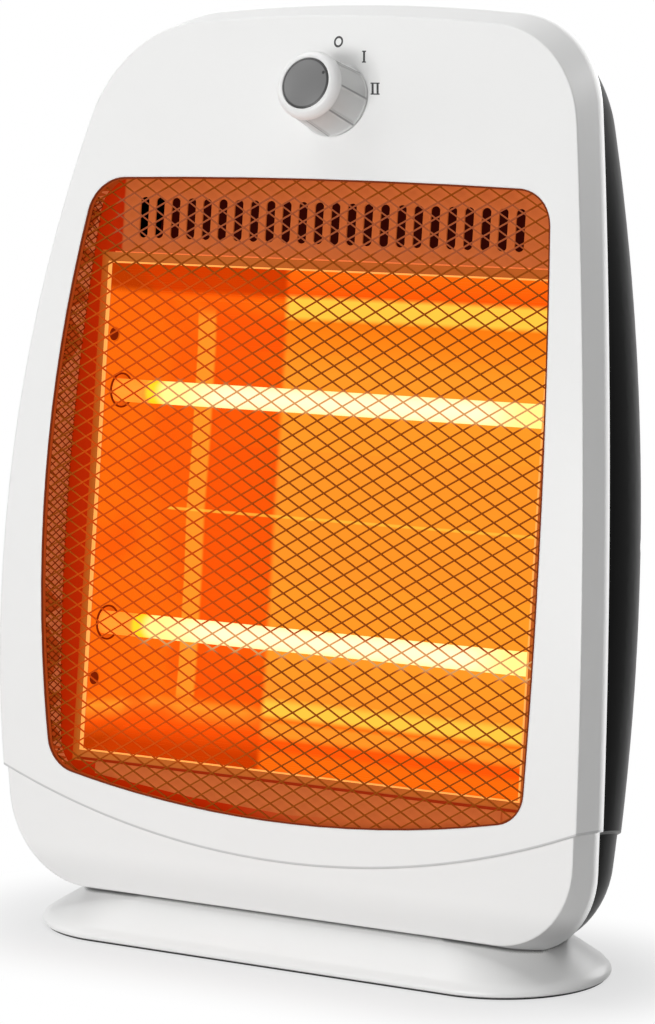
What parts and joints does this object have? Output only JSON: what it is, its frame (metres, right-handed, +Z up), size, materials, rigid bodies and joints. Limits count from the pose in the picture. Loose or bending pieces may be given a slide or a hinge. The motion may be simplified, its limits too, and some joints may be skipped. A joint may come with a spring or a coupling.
{
  "type": "quartz tube radiant heater",
  "caption": "Free-standing radiant heater: bowed casing leaning back on a flared foot, wire guard over a folded reflector with quartz tubes, rotary knob and tip-over switch.",
  "frame": {"origin": "middle of the part's box in plan, on the floor plane under its rubber pads", "axes": "+Z up, -Y out of the front of the heater, +X to the right when facing its front"},
  "size_m": [0.287, 0.1374, 0.4004],
  "materials": {
    "white_plastic": "glossy white moulding",
    "black_plastic": "satin black moulding",
    "guard_steel": "dark coated steel wire",
    "bright_aluminium": "bright rolled sheet",
    "panel_steel": "plain sheet steel",
    "quartz": "milky quartz",
    "resistance_wire": "oxidised heating wire",
    "ceramic": "glazed off-white ceramic",
    "bracket_steel": "zinc plated sheet",
    "knob_plastic": "glossy white moulding",
    "knob_cap_plastic": "dark grey insert",
    "switch_plastic": "dark thermoset",
    "steel": "plated steel",
    "terminal_plastic": "natural nylon",
    "rubber": "black rubber"
  },
  "bodies": {
    "heater": {"front_shell": "white_plastic", "rear_shell": "black_plastic", "guard_front_wires": "guard_steel", "guard_rear_wires": "guard_steel", "reflector": "bright_aluminium", "reflector_surround": "panel_steel", "slot_panel": "panel_steel", "lower_panel": "panel_steel", "quartz_tube_upper": "quartz", "heating_coil_upper": "resistance_wire", "ceramic_end_upper_right": "ceramic", "ceramic_end_upper_left": "ceramic", "quartz_tube_lower": "quartz", "heating_coil_lower": "resistance_wire", "ceramic_end_lower_right": "ceramic", "ceramic_end_lower_left": "ceramic", "tube_bracket_right": "bracket_steel", "tube_bracket_left": "bracket_steel", "rotary_switch": "switch_plastic", "switch_nut": "steel", "thermal_cutout": "steel", "terminal_block": "terminal_plastic", "cord_gland": "black_plastic", "foot": "white_plastic", "base_plate": "black_plastic", "rubber_pads": "rubber", "tip_over_switch": "switch_plastic", "case_screws": "steel", "surround_screws": "steel", "foot_screws": "steel", "base_plate_screws": "steel"},
    "knob_assembly": {"knob": "knob_plastic", "knob_cap": "knob_cap_plastic", "switch_spindle": "steel"},
    "tip_foot": {"tip_plunger": "switch_plastic"}
  },
  "joints": [
    {"name": "knob_turn", "type": "hinge", "parent": "heater", "child": "knob_assembly", "pos_m": [0.003, -0.01519, 0.3601], "axis": [0, -0.9497, 0.3133], "range_deg": [0, 80]},
    {"name": "tip_slide", "type": "slide", "parent": "heater", "child": "tip_foot", "axis": [0, 0, 1], "range_m": [-0.005, 0], "stiffness_N_per_m": 60, "springref_m": -0.006}
  ]
}
